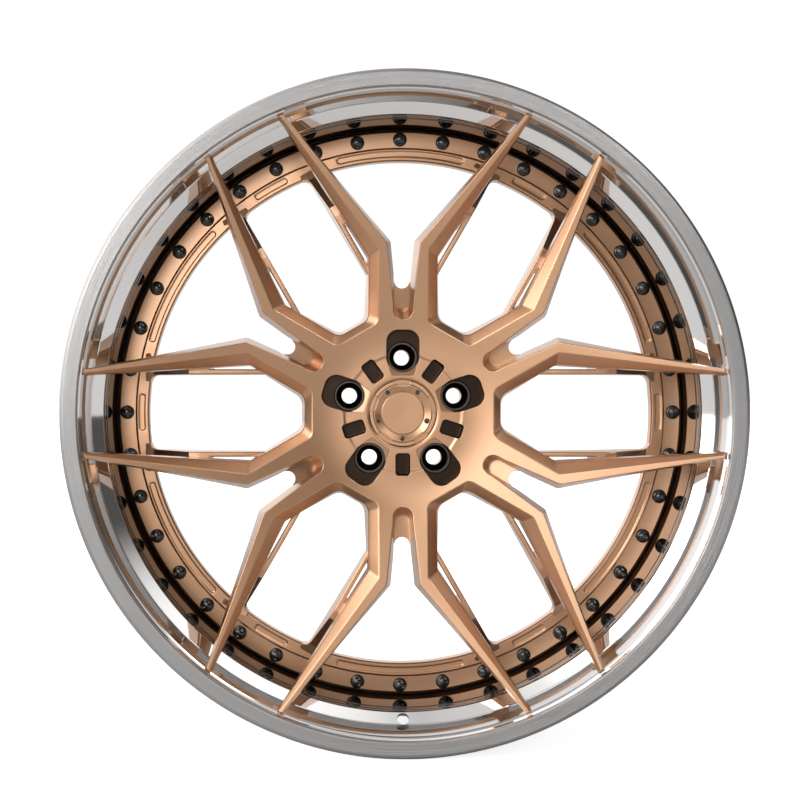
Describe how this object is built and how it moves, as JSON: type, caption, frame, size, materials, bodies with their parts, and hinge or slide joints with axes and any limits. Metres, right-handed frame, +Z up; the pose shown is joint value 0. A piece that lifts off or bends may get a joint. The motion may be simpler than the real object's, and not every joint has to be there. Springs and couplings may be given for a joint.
{
  "type": "forged racing wheel rim",
  "caption": "Three-piece forged wheel rim: split-spoke centre bolted by a ring of flange bolts between a stepped polished lip and an inner barrel, with capped hub.",
  "frame": {"origin": "middle of the rim on its axis, halfway between the two flange faces", "axes": "+Y along the wheel's axis towards the car, so the front faces -Y; +Z up, with the valve hole at the bottom; +X right as seen from the front"},
  "size_m": [0.6446, 0.278, 0.6446],
  "materials": {
    "satin_bronze": "satin bronze coat on forged aluminium",
    "polished_aluminium": "mirror polished, brushed flange face",
    "barrel_aluminium": "fine turned",
    "bolt_black": "gloss black steel",
    "seat_black": "satin black steel",
    "rubber": "matt",
    "sealant": "matt grey sealant"
  },
  "bodies": {
    "root": {"centre_disc": "satin_bronze", "outer_lip": "polished_aluminium", "inner_barrel": "barrel_aluminium", "barrel_seal": "sealant", "cap_body": "satin_bronze", "cap_ring": "satin_bronze", "cap_disc": "satin_bronze", "cap_o_ring": "rubber", "rim_bolt_01": "bolt_black", "rim_bolt_02": "bolt_black", "rim_bolt_03": "bolt_black", "rim_bolt_04": "bolt_black", "rim_bolt_05": "bolt_black", "rim_bolt_06": "bolt_black", "rim_bolt_07": "bolt_black", "rim_bolt_08": "bolt_black", "rim_bolt_09": "bolt_black", "rim_bolt_10": "bolt_black", "rim_bolt_11": "bolt_black", "rim_bolt_12": "bolt_black", "rim_bolt_13": "bolt_black", "rim_bolt_14": "bolt_black", "rim_bolt_15": "bolt_black", "rim_bolt_16": "bolt_black", "rim_bolt_17": "bolt_black", "rim_bolt_18": "bolt_black", "rim_bolt_19": "bolt_black", "rim_bolt_20": "bolt_black", "rim_bolt_21": "bolt_black", "rim_bolt_22": "bolt_black", "rim_bolt_23": "bolt_black", "rim_bolt_24": "bolt_black", "rim_bolt_25": "bolt_black", "rim_bolt_26": "bolt_black", "rim_bolt_27": "bolt_black", "rim_bolt_28": "bolt_black", "rim_bolt_29": "bolt_black", "rim_bolt_30": "bolt_black", "rim_bolt_31": "bolt_black", "rim_bolt_32": "bolt_black", "rim_bolt_33": "bolt_black", "rim_bolt_34": "bolt_black", "rim_bolt_35": "bolt_black", "rim_bolt_36": "bolt_black", "rim_bolt_37": "bolt_black", "rim_bolt_38": "bolt_black", "rim_bolt_39": "bolt_black", "rim_bolt_40": "bolt_black", "lug_seat_1": "seat_black", "lug_seat_2": "seat_black", "lug_seat_3": "seat_black", "lug_seat_4": "seat_black", "lug_seat_5": "seat_black", "cap_screw_1": "bolt_black", "cap_screw_2": "bolt_black", "cap_screw_3": "bolt_black", "cap_screw_4": "bolt_black", "cap_screw_5": "bolt_black"}
  },
  "joints": []
}
